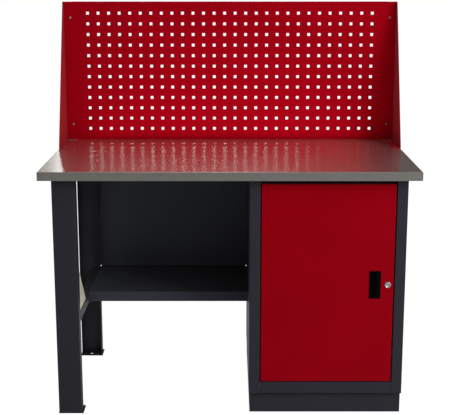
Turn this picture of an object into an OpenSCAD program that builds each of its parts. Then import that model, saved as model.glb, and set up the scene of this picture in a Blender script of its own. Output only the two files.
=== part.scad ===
// Workbench in folded sheet metal: a galvanised worktop on a left side frame and a
// cupboard, an open bay with a shelf between them, and a perforated back board with wings.
// The origin is on the floor, under the middle of the worktop. The front faces -Y.

/* [Worktop] */
// Width of the worktop and of the back board above it
top_w = 1200; // [1160:10:1300]
// Depth of the worktop from its front edge to its back edge
top_d = 670; // [650:5:700]
// Height of the working surface above the floor
top_h = 815; // [780:5:900]
// Height of the worktop's folded edge
top_edge = 28; // [24:1:36]
// Thickness of the galvanised sheet
top_sheet = 1.2; // [0.8:0.1:1.5]
// Width of the sheet's return under the front and back edges
top_return = 62; // [50:1:90]

/* [Side frame] */
// How far the worktop stands out past the frame and the cupboard at its ends
end_overhang = 37.5; // [30:0.5:50]
// How far the worktop stands out past the frame and the cupboard, front and back
front_overhang = 35; // [25:1:45]
// Thickness of the sheet in the legs and rails
frame_sheet = 1.5; // [1.2:0.1:2]
// Width of a leg across its closed face
leg_w = 75; // [65:1:90]
// Depth of a leg from its closed face to its open side
leg_d = 38; // [36:1:50]
// Thickness of a foot plate
foot_t = 4; // [3:0.5:6]
// Depth of a foot plate
foot_d = 60; // [54:1:70]
// How far a foot plate stands out past the leg's inner side
foot_inner = 5; // [2:0.5:8]
// How far a foot plate stands out past the leg's outer side
foot_outer = 1; // [0:0.5:3]
// Diameter of the floor anchor hole in a foot plate
anchor_d = 16; // [10:1:20]
// Distance of the anchor hole from the foot plate's inner edge
anchor_inset = 18; // [14:1:24]
// Thickness of the fixing plate in the top of a leg
cap_t = 3; // [2:0.5:5]
// Height of the lower side rail and of the shelf's front lip
rail_h = 35; // [30:1:50]
// Height of the upper side rail
upper_rail_h = 50; // [35:1:60]
// Width of a side rail's flanges
rail_flange = 28; // [20:1:40]
// Height of the corner gusset above the lower rail
gusset_h = 143; // [100:1:180]
// Length of the corner gusset along the lower rail
gusset_l = 140; // [100:1:180]
// How far the gusset laps behind the leg's inner flange
gusset_lap = 22; // [16:1:30]

/* [Open bay] */
// Height of the bay shelf above the floor
bay_shelf_h = 340; // [300:5:420]
// Depth of the bay shelf, measured from the back panel
bay_shelf_d = 342; // [250:5:400]
// Thickness of the bay's and the cupboard's sheet
body_sheet = 1.2; // [0.8:0.1:1.5]
// Height of the shelf's side and back flanges
bay_flange = 25; // [15:1:28]
// Distance of the bay's back panel from the back of the frame
bay_back_inset = 2.7; // [1.5:0.1:20]
// Depth of the back panel's side flanges
bay_back_flange = 16; // [12:1:25]

/* [Cupboard] */
// Width of the cupboard
cup_w = 500; // [450:5:550]
// Height of the plinth
plinth_h = 70; // [50:1:100]
// How far the plinth stands back from the cupboard's front
plinth_set_back = 14; // [8:1:30]
// How far the plinth stands in from the cupboard's sides
plinth_inset = 2; // [1.5:0.5:6]
// Width of a front stile
stile_w = 34.5; // [28:0.5:45]
// Depth of a stile's return beside the door
stile_return = 17; // [12:0.5:19]
// Height of the bottom rail under the door
sill_h = 39; // [30:1:60]
// Height of the top rail over the door
head_rail_h = 10; // [9:0.5:14]
// Depth of the top rails
head_rail_d = 40; // [30:1:60]
// Width of the flanges at the cupboard's back and bottom
cup_flange = 22; // [15:1:30]
// Height of the inner shelf above the floor
inner_shelf_h = 430; // [360:5:600]
// Height of the inner shelf's edges
inner_shelf_edge = 25; // [15:1:35]
// How far the inner shelf stands back from the cupboard's front
inner_shelf_set_back = 38; // [32:1:80]

/* [Door] */
// Gap at the sides and under the door
door_gap = 3; // [2.5:0.1:4]
// Gap over the door
door_top_gap = 7; // [4:0.5:10]
// Depth of the door pan
door_t = 18; // [16:0.5:19]
// Width of the return on the back of the door pan
door_return = 8; // [5:0.5:8]
// Width of the door's stiffener across its crown
stiffener_w = 60; // [40:1:90]
// Distance of the hinge axis from the door's hinge edge
hinge_inset = 10; // [9:0.5:14]
// Distance of the hinge axis behind the door's front face
hinge_depth = 8; // [7:0.5:8.5]
// Diameter of a hinge pin
hinge_pin_d = 6; // [4:0.5:7]
// Depth of a hinge pin in its bush
hinge_engage = 8; // [5:0.5:8.5]

/* [Finger pull] */
// Width of the finger pull's flange
pull_w = 37.5; // [34:0.5:44]
// Height of the finger pull's flange
pull_h = 92; // [80:1:110]
// Distance of the pull's middle from the door's free edge
pull_inset = 60; // [55:1:80]
// Depth of the pull's cup behind the door's face
pull_depth = 14; // [10:0.5:15]
// Width of the lip that the fingers hook behind
pull_lip = 10; // [8:0.5:12]
// Wall of the pull
pull_wall = 2; // [1.5:0.1:2.5]

/* [Lock] */
// Distance of the lock from the door's free edge
lock_inset = 18.5; // [17:0.5:24]
// Diameter of the lock's head
lock_head_d = 20; // [19:0.5:24]
// How far the lock's head stands out of the door
lock_head_t = 2.5; // [1.5:0.1:4]
// Diameter of the lock's body
lock_body_d = 17; // [15:0.5:18]
// Diameter of the turning plug
plug_d = 11; // [10:0.5:12]
// Reach of the cam from the lock's axis
cam_l = 36; // [32:1:45]
// Thickness of the cam
cam_t = 2.5; // [2:0.1:3]

/* [Back board] */
// Height of the perforated board
board_h = 500; // [480:5:620]
// Thickness of the board's and the wings' sheet
board_sheet = 1.5; // [1:0.1:2]
// Distance of the board's face from the worktop's back edge
board_back = 20; // [15:1:40]
// Side of a square hole
hole_side = 10; // [6:0.5:14]
// Pitch of the holes in both directions
hole_pitch = 38; // [30:0.5:40]
// Number of holes in a row
hole_cols = 28; // [10:1:28]
// Number of rows of holes
hole_rows = 12; // [4:1:12]
// Height of the stepped band along the board's top
band_h = 16; // [10:1:24]
// How far the band stands in front of the board's face
band_step = 2; // [2:0.1:3]
// Depth of a wing at the worktop, measured from the board's face
wing_foot = 204; // [120:1:240]
// Depth of a wing at the top of the board
wing_head = 18; // [10:1:60]
// Width of the wings' flanges
wing_flange = 30; // [26:1:40]

/* [Fasteners and fits] */
// Shank diameter of the screws
screw_d = 4; // [3:0.1:5]
// Head diameter of the screws
screw_head_d = 9; // [7:0.1:10]
// Head height of the screws
screw_head_t = 2; // [1.5:0.1:3]
// Loose fit between pieces that are laid together
fit = 0.3; // [0.2:0.05:0.4]
// Radial running clearance of a pin in its bush
run_fit = 0.05; // [0.02:0.01:0.1]
// Outer radius of a fold
fold_r = 2.5; // [2.2:0.1:3]

/* [Hidden] */
$fn = 32;
fold_steps = 4;

// Worktop
under = top_h - top_edge;
top_front = -top_d / 2;
top_back = top_d / 2;
core_bottom = under + top_sheet;

// Side frame
front = top_front + front_overhang;
back = -front;
leg_outer = end_overhang - top_w / 2;
leg_inner = leg_outer + leg_w;
leg_mid = (leg_outer + leg_inner) / 2;
rail_front = front + leg_d;
rail_back = back - leg_d;
rail_top = bay_shelf_h;
rail_bottom = rail_top - rail_h;
gusset_face = leg_inner - frame_sheet;

leg_screw_inset = 20;
leg_screw_pitch = 36;
gusset_screw_z = 34;
gusset_foot_w = 21;

// Cupboard, between its outer faces
cup_x1 = top_w / 2 - end_overhang;
cup_x0 = cup_x1 - cup_w;
cup_mid = (cup_x0 + cup_x1) / 2;
stile_in0 = cup_x0 + stile_w;
stile_in1 = cup_x1 - stile_w;
inside_x0 = cup_x0 + body_sheet;
inside_x1 = cup_x1 - body_sheet;
floor_z = plinth_h + sill_h;
head_z = under - head_rail_h;
cup_back_face = back - 2 * body_sheet;
cup_screw_pitch = 180;
clip_w = 20;
clip_l = 12;
clip_h = 18;
clip_front = 45;
clip_rear = 65;
tab_r = 2;

// Open bay
bay_x0 = leg_inner;
bay_x1 = cup_x0;
bay_back_face = back - bay_back_inset;
bay_shelf_front = bay_back_face - bay_shelf_d;
bay_shelf_return = 12;
bay_screw_inset = 60;
notch_w = 4;
notch_d = 14;

// Door
door_x0 = stile_in0 + door_gap;
door_x1 = stile_in1 - door_gap;
door_z0 = floor_z + door_gap;
door_z1 = head_z - door_top_gap;
door_back = front + door_t;
door_mid_z = (door_z0 + door_z1) / 2;
hinge_x = door_x0 + hinge_inset;
hinge_y = front + hinge_depth;
hinge_pin_r = hinge_pin_d / 2;
pull_x = door_x1 - pull_inset;
pull_flange_t = 1.2;
pull_rim = 2;
lock_x = door_x1 - lock_inset;
bush_wall = 2;
bush_flange = 2;
bush_flange_t = 1;
pin_head_t = 2;
pin_end_gap = 1;
stiffener_flange = 12;
stop_h = 25;
stop_t = 1.5;
stop_inset = 80;
stop_grip = 4;

// Lock
cam_y = door_back + 2;
lock_rim_t = 0.6 * lock_head_t;
lock_chamfer = 0.8;
nut_t = 4;
nut_w = lock_body_d + 7;
key_slot_w = 1.6;
key_slot_l = 8;
key_slot_h = 11;
tang_w = 6.6;
cam_w = 12;
cam_screw_r = 1.6;
cam_screw_l = 6;
cam_head_d = 10;
cam_head_t = 2;

// Back board
board_face = top_back - board_back;
board_z0 = top_h + board_sheet;
board_z1 = board_z0 + board_h;
board_rear = board_face + board_sheet;
wing_x = top_w / 2;
board_x = wing_x - fold_r;
wing_rear = board_rear + board_sheet;
wing_screw_edge = 15;
wing_screw_front = 28;
wing_screw_rear = 25;
board_screw_edge = 23;
board_screw_inset = 57;
board_screw_end = 3;
flange_gap = 3;
wing_screw_x = wing_x - wing_screw_edge;
board_screw_x = wing_x - board_screw_edge;
board_screw_z = [board_z0 + board_screw_inset, board_z1 - board_screw_inset];
wing_screw_y = [board_face - wing_foot + wing_screw_front, board_face - wing_screw_rear];
board_flange_x = wing_x - wing_flange - flange_gap;
base_screw_pitch = 250;
base_screw_x = [for (k = [-2:2]) k * base_screw_pitch];
base_screw_y = (board_rear + top_back) / 2;

// Screws
screw_r = screw_d / 2;
screw_hole_r = screw_r + 0.2;
screw_crown_d = 0.7 * screw_head_d;
core_bite = 14;
through = 10;

function unit(v) = v / norm(v);
function left_of(v) = [-v[1], v[0]];
function turned(v, a) = [v[0] * cos(a) - v[1] * sin(a), v[0] * sin(a) + v[1] * cos(a)];
function backwards(list) = [for (i = [len(list) - 1:-1:0]) list[i]];

// One side of a folded sheet: the path set off by d to its left, each fold as an arc
function fold_side(path, d, r) = [
    for (i = [0:len(path) - 1])
        let (last = len(path) - 1)
        let (a = unit(i == 0 ? path[1] - path[0] : path[i] - path[i - 1]))
        let (b = i == last ? a : unit(path[i + 1] - path[i]))
        let (turn = atan2(a[0] * b[1] - a[1] * b[0], a * b))
        let (centre = path[i] - a * r * tan(abs(turn) / 2) + sign(turn) * r * left_of(a))
        each abs(turn) < 1
            ? [path[i] + d * left_of(a)]
            : [for (k = [0:fold_steps]) centre
                + (d - sign(turn) * r) * turned(left_of(a), turn * k / fold_steps)]
];

// Section of a folded sheet, t thick to the left of its path, or to its right if t < 0
module folded(path, t, r = fold_r) {
    polygon(concat(fold_side(path, 0, r), backwards(fold_side(path, t, r))));
}

// Extrudes an X-Z section along Y, from y0 to y1
module along_y(y0, y1) {
    translate([0, y1, 0]) rotate([90, 0, 0]) linear_extrude(y1 - y0) children();
}

// Extrudes a Y-Z section along X, from x0 to x1
module along_x(x0, x1) {
    translate([x0, 0, 0]) rotate([90, 0, 90]) linear_extrude(x1 - x0) children();
}

// Extrudes an X-Y section along Z, from z0 to z1
module along_z(z0, z1) {
    translate([0, 0, z0]) linear_extrude(z1 - z0) children();
}

// A box between two corners
module box(a, b) {
    translate(a) cube(b - a);
}

// A rectangle with round corners
module rounded(w, h, r) {
    square([w - 2 * r, h], center = true);
    square([w, h - 2 * r], center = true);
    for (x = [-1, 1], y = [-1, 1]) translate([x * (w / 2 - r), y * (h / 2 - r)]) circle(r);
}

// Section of a block w wide and h high, round along its two top edges
module round_topped(w, h, r) {
    polygon(concat(
        [[-w / 2, 0], [w / 2, 0]],
        [for (k = [0:fold_steps]) [w / 2 - r, h - r] + r * turned([1, 0], 90 * k / fold_steps)],
        [for (k = [0:fold_steps]) [r - w / 2, h - r] + r * turned([0, 1], 90 * k / fold_steps)]
    ));
}

// A block round along all its top edges, its base centred on the origin
module block(w, d, h, r) {
    intersection() {
        along_y(-d / 2, d / 2) round_topped(w, h, r);
        along_x(-w / 2, w / 2) round_topped(d, h, r);
    }
}

// A pan of sheet t thick, open at the bottom
module pan(w, d, h, t, r) {
    difference() {
        block(w, d, h, r);
        translate([0, 0, -1]) block(w - 2 * t, d - 2 * t, h - t + 1, r - t);
    }
}

// A screw whose head stands on z = 0 and whose shank goes down
module screw(l) {
    translate([0, 0, -l]) cylinder(r = screw_r, h = l + screw_head_t / 2);
    cylinder(d1 = screw_head_d, d2 = screw_crown_d, h = screw_head_t);
}

// The hole of a screw through a sheet
module screw_hole() {
    cylinder(r = screw_hole_r, h = through, center = true);
}

// Places things at the screws in the leg tops
module leg_fixings() {
    for (s = [0, 1], x = [-1, 1]) mirror([0, s, 0])
        translate([leg_mid + x * leg_screw_pitch / 2, front + leg_screw_inset, 0]) children();
}

// Places things at the screws in the cupboard's two top rails
module cupboard_fixings() {
    for (y = [front + head_rail_d + cup_flange / 2, back - cup_flange], k = [-1:1])
        translate([cup_mid + k * cup_screw_pitch, y, 0]) children();
}

// Places things where screws come down through the worktop's sheet
module top_points() {
    for (s = [-1, 1], y = wing_screw_y) translate([s * wing_screw_x, y, top_h]) children();
    for (x = base_screw_x) translate([x, base_screw_y, top_h]) children();
}

// Worktop

module worktop_core() {
    color("burlywood") difference() {
        translate([0, 0, core_bottom])
            block(top_w - 2 * (top_sheet + fit), top_d - 2 * (top_sheet + fit),
                top_edge - 2 * top_sheet, fold_r - top_sheet);
        leg_fixings() translate([0, 0, core_bottom - 1]) cylinder(r = screw_hole_r, h = core_bite + 2);
        cupboard_fixings() translate([0, 0, core_bottom - 1])
            cylinder(r = screw_hole_r, h = core_bite + 2);
        top_points() translate([0, 0, -core_bite - 1]) cylinder(r = screw_hole_r, h = core_bite + 2);
    }
}

module worktop_sheet() {
    color("silver") difference() {
        union() {
            translate([0, 0, under]) pan(top_w, top_d, top_edge, top_sheet, fold_r);
            for (s = [0, 1]) mirror([0, s, 0])
                box([-top_w / 2, top_front, under], [top_w / 2, top_front + top_return, core_bottom]);
        }
        top_points() screw_hole();
        leg_fixings() translate([0, 0, under]) screw_hole();
        cupboard_fixings() translate([0, 0, under]) screw_hole();
    }
}

module worktop_screws() {
    color("gainsboro") {
        leg_fixings() translate([0, 0, under - cap_t]) mirror([0, 0, 1]) screw(cap_t + core_bite);
        cupboard_fixings() translate([0, 0, under - body_sheet])
            mirror([0, 0, 1]) screw(body_sheet + core_bite);
    }
}

// Left side frame

module leg() {
    color("#303136") along_z(foot_t, under)
        folded([[leg_outer, front + leg_d], [leg_outer, front], [leg_inner, front],
            [leg_inner, front + leg_d]], frame_sheet);
}

module foot_plate() {
    color("#26272a") difference() {
        box([leg_outer - foot_outer, front, 0], [leg_inner + foot_inner, front + foot_d, foot_t]);
        translate([leg_mid, front + foot_d - anchor_inset, -1]) cylinder(d = anchor_d, h = foot_t + 2);
    }
}

module front_left_leg() { leg(); }
module rear_left_leg() { mirror([0, 1, 0]) leg(); }
module front_left_foot() { foot_plate(); }
module rear_left_foot() { mirror([0, 1, 0]) foot_plate(); }

module leg_top_plates() {
    color("#303136") difference() {
        for (s = [0, 1]) mirror([0, s, 0])
            box([leg_outer + frame_sheet, front + fold_r, under - cap_t],
                [leg_inner - frame_sheet, front + leg_d, under]);
        leg_fixings() translate([0, 0, under]) screw_hole();
    }
}

// A rail between the legs, from z0 to z1: its web at x, its flanges to the side given
module side_rail(x, side, z0, z1) {
    edge = x + side * rail_flange;
    color("#303136") along_y(rail_front, rail_back)
        folded([[edge, z0], [x, z0], [x, z1], [edge, z1]], -side * frame_sheet);
}

module lower_side_rail() { side_rail(leg_inner, -1, rail_bottom, rail_top); }
module upper_side_rail() { side_rail(leg_outer, 1, under - upper_rail_h, under); }

// Places things at the two screws that hold the gusset to the leg
module gusset_leg_points() {
    for (z = [gusset_screw_z, gusset_h - gusset_screw_z])
        translate([gusset_face, rail_front - gusset_lap / 2, rail_top + z]) children();
}

module corner_gusset() {
    color("#b2aa8f") difference() {
        union() {
            along_x(gusset_face - frame_sheet, gusset_face)
                polygon([[rail_front - gusset_lap, rail_top], [rail_front + gusset_l, rail_top],
                    [rail_front, rail_top + gusset_h], [rail_front - gusset_lap, rail_top + gusset_h]]);
            box([gusset_face - gusset_foot_w, rail_front + fit, rail_top],
                [gusset_face, rail_front + gusset_l - gusset_lap, rail_top + frame_sheet]);
        }
        gusset_leg_points() rotate([0, 90, 0]) screw_hole();
    }
}

module side_frame_screws() {
    color("gainsboro") gusset_leg_points()
        translate([-frame_sheet, 0, 0]) rotate([0, -90, 0]) screw(frame_sheet);
}

// Open bay

// Places the shelf's screws: two through each side flange, their heads in the bay
module bay_screw_points() {
    z = bay_shelf_h - bay_flange / 2 - body_sheet;
    for (y = [bay_shelf_front + bay_screw_inset, bay_back_face - bay_screw_inset]) {
        translate([bay_x0 + body_sheet, y, z]) rotate([0, 90, 0]) children();
        translate([bay_x1 - body_sheet, y, z]) rotate([0, -90, 0]) children();
    }
}

module bay_back_panel() {
    color("#2c2e34") {
        along_z(bay_shelf_h + 1, under)
            folded([[bay_x0, bay_back_face - bay_back_flange], [bay_x0, bay_back_face + body_sheet],
                [bay_x1, bay_back_face + body_sheet], [bay_x1, bay_back_face - bay_back_flange]],
                -body_sheet);
        box([bay_x0 + fold_r, bay_back_face, rail_bottom],
            [bay_x1 - fold_r, bay_back_face + body_sheet, bay_shelf_h + 1]);
    }
}

module bay_shelf() {
    color("#2f3034") difference() {
        union() {
            along_x(bay_x0, bay_x1)
                folded([[bay_shelf_front + bay_shelf_return, rail_bottom], [bay_shelf_front, rail_bottom],
                    [bay_shelf_front, bay_shelf_h], [bay_back_face, bay_shelf_h],
                    [bay_back_face, bay_shelf_h - bay_flange]], -body_sheet);
            for (x = [bay_x0, bay_x1 - body_sheet])
                box([x, bay_shelf_front + fold_r, bay_shelf_h - bay_flange],
                    [x + body_sheet, bay_back_face - fold_r, bay_shelf_h - body_sheet / 2]);
        }
        for (x = [bay_x0 - 1, bay_x1 - notch_w])
            box([x, bay_back_face - notch_d, rail_bottom],
                [x + notch_w + 1, bay_back_face + 1, bay_shelf_h + 1]);
        bay_screw_points() screw_hole();
    }
}

module bay_screws() {
    color("gainsboro") bay_screw_points() screw(body_sheet);
}

// Cupboard

module cupboard_side() {
    color("#33343a") {
        along_z(plinth_h, under)
            folded([[stile_in0, front + stile_return], [stile_in0, front], [cup_x0, front],
                [cup_x0, back], [cup_x0 + cup_flange, back]], -body_sheet);
        box([cup_x0 + body_sheet / 2, front + stile_return + fit, plinth_h],
            [cup_x0 + cup_flange, back - body_sheet / 2, plinth_h + body_sheet]);
    }
}

module cupboard_left_side() { cupboard_side(); }
module cupboard_right_side() { translate([2 * cup_mid, 0, 0]) mirror([1, 0, 0]) cupboard_side(); }

module cupboard_back() {
    color("#2c2e34")
        box([cup_x0 + fold_r, cup_back_face, floor_z - cup_flange],
            [cup_x1 - fold_r, back - body_sheet, under]);
}

module cupboard_floor() {
    color("#33343a") difference() {
        union() {
            along_x(stile_in0, stile_in1)
                folded([[front + cup_flange, plinth_h], [front, plinth_h], [front, floor_z],
                    [cup_back_face, floor_z], [cup_back_face, floor_z - cup_flange]], -body_sheet);
            box([inside_x0, front + stile_return + fit, floor_z - body_sheet],
                [inside_x1, cup_back_face - fold_r, floor_z]);
            for (x = [inside_x0, inside_x1 - body_sheet])
                box([x, front + stile_return + fit, floor_z - cup_flange],
                    [x + body_sheet, cup_back_face - fold_r, floor_z - body_sheet / 2]);
        }
        translate([hinge_x, hinge_y, floor_z])
            cylinder(r = hinge_pin_r + bush_wall + run_fit, h = through, center = true);
    }
}

module cupboard_plinth() {
    x0 = cup_x0 + plinth_inset;
    x1 = cup_x1 - plinth_inset;
    y0 = front + plinth_set_back;
    color("#2b2c30") {
        along_z(0, plinth_h)
            folded([[x0, back], [x0, y0], [x1, y0], [x1, back]], body_sheet);
        for (x = [x0 + body_sheet / 2, x1 - cup_flange])
            box([x, y0 + fold_r, plinth_h - body_sheet],
                [x + cup_flange - body_sheet / 2, back - fold_r, plinth_h]);
        box([x0 + fold_r, y0 + body_sheet / 2, plinth_h - body_sheet],
            [x1 - fold_r, y0 + cup_flange, plinth_h]);
    }
}

module cupboard_head_rail() {
    color("#33343a") difference() {
        along_x(stile_in0, stile_in1)
            folded([[front, under], [front, head_z], [front + head_rail_d, head_z],
                [front + head_rail_d, under - body_sheet],
                [front + head_rail_d + cup_flange, under - body_sheet]], body_sheet);
        translate([hinge_x, hinge_y, head_z])
            cylinder(r = hinge_pin_r + bush_wall + run_fit, h = through, center = true);
        cupboard_fixings() translate([0, 0, under]) screw_hole();
    }
}

module cupboard_rear_rail() {
    color("#33343a") difference() {
        along_x(inside_x0, inside_x1)
            folded([[cup_back_face, under - head_rail_d], [cup_back_face, under],
                [cup_back_face - head_rail_d, under]], body_sheet);
        cupboard_fixings() translate([0, 0, under]) screw_hole();
    }
}

module inner_shelf() {
    y0 = front + inner_shelf_set_back;
    y1 = cup_back_face - fit;
    color("#33343a") translate([cup_mid, (y0 + y1) / 2, inner_shelf_h - inner_shelf_edge])
        pan(inside_x1 - inside_x0 - 2 * fit, y1 - y0, inner_shelf_edge, body_sheet, fold_r);
}

// A clip under each corner of the inner shelf
module shelf_clips() {
    z = inner_shelf_h - inner_shelf_edge;
    color("gainsboro")
        for (s = [0, 1], y = [front + inner_shelf_set_back + clip_front, cup_back_face - clip_rear])
            translate([s * 2 * cup_mid, 0, 0]) mirror([s, 0, 0]) along_y(y, y + clip_w)
                folded([[inside_x0 + clip_l, z], [inside_x0, z], [inside_x0, z - clip_h]],
                    body_sheet, tab_r);
}

// Folded tabs that the closed door meets, fixed behind the free side's stile
module door_stops() {
    x1 = stile_in1 + body_sheet + stop_t;
    y1 = door_back + fit + stop_t;
    color("gainsboro")
        for (z = [door_z0 + stop_inset, door_z1 - stop_inset - stop_h]) along_z(z, z + stop_h)
            folded([[door_x1 - door_return, y1], [x1, y1], [x1, front + stop_grip]], -stop_t, tab_r);
}

// Bush in the head rail, its flange under the rail
module upper_hinge_bush() {
    color("ivory") translate([hinge_x, hinge_y, head_z]) difference() {
        union() {
            translate([0, 0, -bush_flange_t])
                cylinder(r = hinge_pin_r + bush_wall + bush_flange, h = bush_flange_t);
            cylinder(r = hinge_pin_r + bush_wall, h = hinge_engage);
        }
        cylinder(r = hinge_pin_r + run_fit, h = 3 * hinge_engage, center = true);
    }
}

// Bush in the sill, its flange carries the door
module lower_hinge_bush() {
    color("ivory") translate([hinge_x, hinge_y, floor_z]) difference() {
        union() {
            cylinder(r = hinge_pin_r + bush_wall + bush_flange, h = door_gap - fit);
            translate([0, 0, -hinge_engage]) cylinder(r = hinge_pin_r + bush_wall, h = hinge_engage);
        }
        cylinder(r = hinge_pin_r + run_fit, h = 3 * hinge_engage, center = true);
    }
}

// Door

module door_pan() {
    color("#8c0010") difference() {
        union() {
            translate([(door_x0 + door_x1) / 2, door_back, door_mid_z]) rotate([90, 0, 0])
                pan(door_x1 - door_x0, door_z1 - door_z0, door_t, body_sheet, fold_r);
            difference() {
                box([door_x0, door_back - body_sheet, door_z0], [door_x1, door_back, door_z1]);
                box([door_x0 + door_return, door_back - through / 2, door_z0 + door_return],
                    [door_x1 - door_return, door_back + 1, door_z1 - door_return]);
            }
        }
        translate([pull_x, front, door_mid_z]) rotate([90, 0, 0]) linear_extrude(through, center = true)
            square([pull_w - 2 * pull_rim + 2 * fit, pull_h - 2 * pull_rim + 2 * fit], center = true);
        translate([lock_x, front, door_mid_z]) rotate([90, 0, 0])
            cylinder(d = lock_body_d + 2 * fit, h = through, center = true);
        for (z = [door_z0, door_z1]) translate([hinge_x, hinge_y, z])
            cylinder(r = hinge_pin_r + run_fit, h = through, center = true);
    }
}

module door_stiffener() {
    x0 = (door_x0 + door_x1 - stiffener_w) / 2;
    x1 = x0 + stiffener_w;
    skin = front + body_sheet;
    crown = door_back - 2 * body_sheet - fit;
    color("#2f3034") along_z(door_z0 + fold_r, door_z1 - fold_r)
        folded([[x0 - stiffener_flange, skin], [x0, skin], [x0, crown], [x1, crown], [x1, skin],
            [x1 + stiffener_flange, skin]], body_sheet, tab_r);
}

// Cup let into the door: fingers go in at the left and hook behind the lip at the right
module finger_pull() {
    w = pull_w - 2 * pull_rim;
    h = pull_h - 2 * pull_rim;
    color("#0c0c0d") translate([pull_x, front, door_mid_z]) difference() {
        union() {
            rotate([90, 0, 0]) linear_extrude(pull_flange_t) rounded(pull_w, pull_h, pull_rim);
            box([-w / 2, 0, -h / 2], [w / 2, pull_depth, h / 2]);
        }
        box([pull_wall - w / 2, pull_wall, pull_wall - h / 2],
            [w / 2 - pull_wall, pull_depth - pull_wall, h / 2 - pull_wall]);
        box([pull_wall - w / 2, -2 * pull_flange_t, pull_wall - h / 2],
            [w / 2 - pull_wall - pull_lip, pull_wall + 1, h / 2 - pull_wall]);
    }
}

module hinge_pin(engage) {
    color("gainsboro") translate([hinge_x, hinge_y, 0]) {
        translate([0, 0, -pin_head_t]) cylinder(r = hinge_pin_r + bush_wall, h = pin_head_t);
        cylinder(r = hinge_pin_r, h = engage);
    }
}

module upper_hinge_pin() {
    translate([0, 0, door_z1 - body_sheet])
        hinge_pin(body_sheet + door_top_gap + hinge_engage - pin_end_gap);
}

module lower_hinge_pin() {
    translate([0, 0, door_z0 + body_sheet]) mirror([0, 0, 1])
        hinge_pin(body_sheet + door_gap + hinge_engage - pin_end_gap);
}

// Lock

// Places a lock piece on the lock's axis, its +Z pointing into the cupboard, z = 0 at the door's face
module on_lock() {
    translate([lock_x, front, door_mid_z]) rotate([-90, 0, 0]) children();
}

module lock_barrel() {
    end = cam_y - front - fit;
    color("gainsboro") on_lock() difference() {
        union() {
            translate([0, 0, -lock_head_t]) cylinder(d1 = lock_head_d - 2 * lock_chamfer,
                d2 = lock_head_d, h = lock_head_t - lock_rim_t);
            translate([0, 0, -lock_rim_t]) cylinder(d = lock_head_d, h = lock_rim_t);
            cylinder(d = lock_body_d, h = end);
        }
        translate([0, 0, -lock_head_t - 1]) cylinder(d = plug_d + 2 * run_fit, h = end + lock_head_t + 2);
    }
}

module lock_nut() {
    color("silver") on_lock() translate([0, 0, body_sheet]) difference() {
        cylinder(d = nut_w, h = nut_t, $fn = 6);
        cylinder(d = lock_body_d + 2 * run_fit, h = 3 * nut_t, center = true);
    }
}

module lock_plug() {
    end = cam_y - front;
    color("silver") on_lock() difference() {
        union() {
            translate([0, 0, -lock_head_t]) cylinder(d = plug_d, h = end + lock_head_t);
            translate([-tang_w / 2, -tang_w / 2, 0]) cube([tang_w, tang_w, end + cam_t]);
        }
        translate([-key_slot_w / 2, -key_slot_l / 2, -lock_head_t - 1])
            cube([key_slot_w, key_slot_l, key_slot_h + 1]);
        translate([0, 0, end + cam_t - cam_screw_l - 1])
            cylinder(r = cam_screw_r + run_fit, h = cam_screw_l + 2);
    }
}

// The cam hangs down when the lock is open
module lock_cam() {
    color("silver") on_lock() translate([0, 0, cam_y - front]) difference() {
        union() {
            cylinder(d = lock_body_d, h = cam_t);
            translate([-cam_w / 2, 0, 0]) cube([cam_w, cam_l - cam_w / 2, cam_t]);
            translate([0, cam_l - cam_w / 2, 0]) cylinder(d = cam_w, h = cam_t);
        }
        translate([-tang_w / 2, -tang_w / 2, -1]) cube([tang_w, tang_w, cam_t + 2]);
    }
}

module cam_screw() {
    color("gainsboro") on_lock() translate([0, 0, cam_y - front + cam_t]) {
        cylinder(d1 = cam_head_d, d2 = cam_head_d - cam_head_t, h = cam_head_t);
        translate([0, 0, -cam_screw_l]) cylinder(r = cam_screw_r, h = cam_screw_l + 1);
    }
}

// Back board

// Places the screws that join the board to the wings, +Z out of the board's face
module board_screw_points() {
    for (s = [-1, 1], z = board_screw_z)
        translate([s * board_screw_x, board_face, z]) rotate([90, 0, 0]) children();
}

// The folded board with a square hole at each crossing of the grid
module back_board() {
    grid_z = (board_z0 + board_z1) / 2;
    color("#a50016") difference() {
        along_x(-board_x, board_x)
            folded([[top_back, board_z0], [board_face, board_z0],
                [board_face, board_z1 - band_h - band_step], [board_face - band_step, board_z1 - band_h],
                [board_face - band_step, board_z1], [top_back, board_z1]], -board_sheet);
        for (i = [0:hole_cols - 1], j = [0:hole_rows - 1])
            translate([(i - (hole_cols - 1) / 2) * hole_pitch, board_face + board_sheet / 2,
                grid_z + (j - (hole_rows - 1) / 2) * hole_pitch])
                cube([hole_side, 4 * board_sheet, hole_side], center = true);
        for (s = [0, 1]) mirror([s, 0, 0])
            box([board_flange_x, board_rear, top_h], [top_w, top_back + 1, board_z1 + 1]);
        board_screw_points() screw_hole();
        for (x = base_screw_x) translate([x, base_screw_y, board_z0]) screw_hole();
    }
}

// A wing's triangular side with its bottom flange, and its rear flange behind the board
module wing() {
    color("#9c0c1c") difference() {
        union() {
            intersection() {
                along_y(board_face - wing_foot, wing_rear - fold_r)
                    folded([[-wing_x, board_z1], [-wing_x, top_h], [wing_flange - wing_x, top_h]],
                        board_sheet);
                along_x(-wing_x - 1, 0)
                    polygon([[board_face - wing_foot, top_h], [wing_rear, top_h],
                        [wing_rear, board_z1], [board_face - wing_head, board_z1]]);
            }
            along_z(board_z0, board_z1)
                folded([[-wing_x, board_rear - fold_r - 1], [-wing_x, wing_rear],
                    [wing_flange - wing_x, wing_rear]], -board_sheet);
        }
        board_screw_points() screw_hole();
        top_points() screw_hole();
    }
}

module left_wing() { wing(); }
module right_wing() { mirror([1, 0, 0]) wing(); }

module board_screws() {
    color("gainsboro") board_screw_points() screw(2 * board_sheet + board_screw_end);
}

module wing_screws() {
    color("gainsboro") for (s = [-1, 1], y = wing_screw_y)
        translate([s * wing_screw_x, y, top_h + board_sheet]) screw(board_sheet + core_bite - 1);
}

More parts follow.
